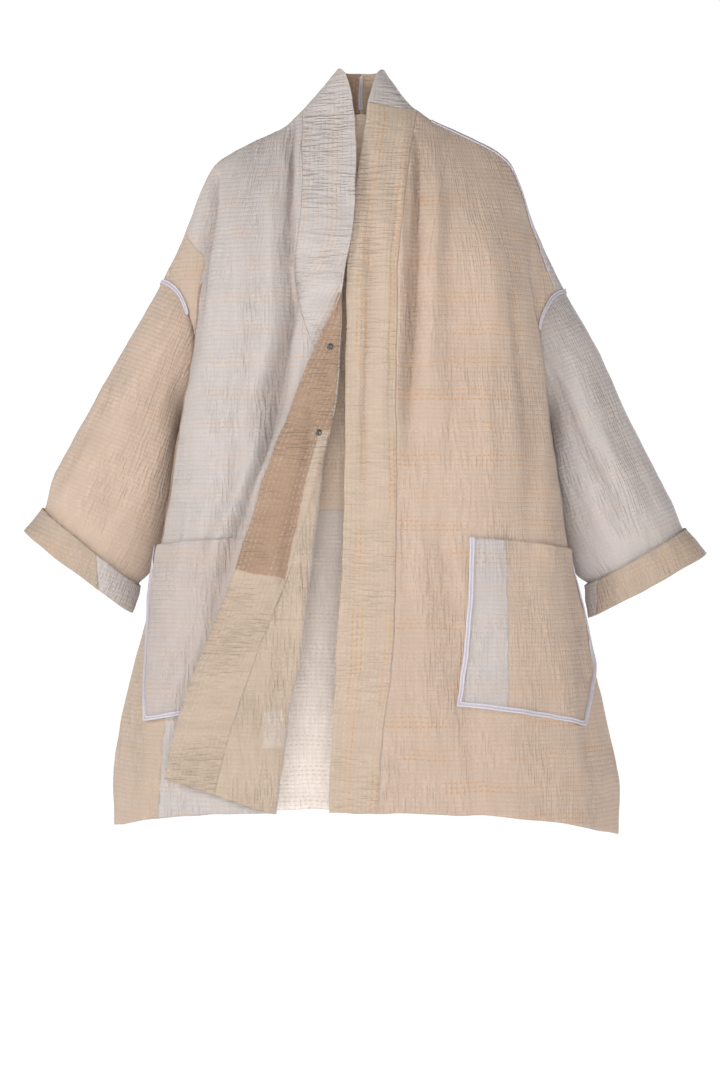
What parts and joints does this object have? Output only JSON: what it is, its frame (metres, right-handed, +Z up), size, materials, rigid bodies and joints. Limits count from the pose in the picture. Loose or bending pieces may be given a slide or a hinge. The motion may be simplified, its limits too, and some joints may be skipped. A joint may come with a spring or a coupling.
{
  "type": "kimono coat",
  "caption": "Hip-length kimono coat in patched quilted cloth, worn open with one front turned back, wide sleeves with turned cuffs and patch pockets.",
  "frame": {"origin": "centre of the base of the neck at the height of the high shoulder points, where the wearer's neck and shoulders carry the coat", "axes": "+Z up, +X towards the wearer's left side, -Y towards the front"},
  "size_m": [0.9349, 0.2961, 1.0452],
  "materials": {
    "quilt_white": "soft washed cotton, hand quilted",
    "quilt_cream": "soft washed cotton, hand quilted",
    "quilt_beige": "soft washed cotton, hand quilted",
    "binding_white": "soft washed cotton, hand quilted",
    "quilt_tan": "soft washed cotton, the quilt's other face",
    "snap_metal": "dark gunmetal, polished"
  },
  "bodies": {
    "root": {"back": "quilt_white", "front_right": "quilt_white", "front_left": "quilt_cream", "band_right": "quilt_white", "band_left": "quilt_cream", "collar_left": "quilt_white", "sleeve_right": "quilt_cream", "sleeve_left": "quilt_white", "cuff_right": "quilt_beige", "cuff_left": "quilt_beige", "pocket_right": "quilt_white", "pocket_left": "quilt_white", "pocket_binding_right": "binding_white", "pocket_binding_left": "binding_white", "armhole_binding_right": "binding_white", "armhole_binding_left": "binding_white", "shoulder_binding_left": "binding_white", "collar_binding": "binding_white", "snap_upper": "snap_metal", "snap_lower": "snap_metal"}
  },
  "joints": []
}
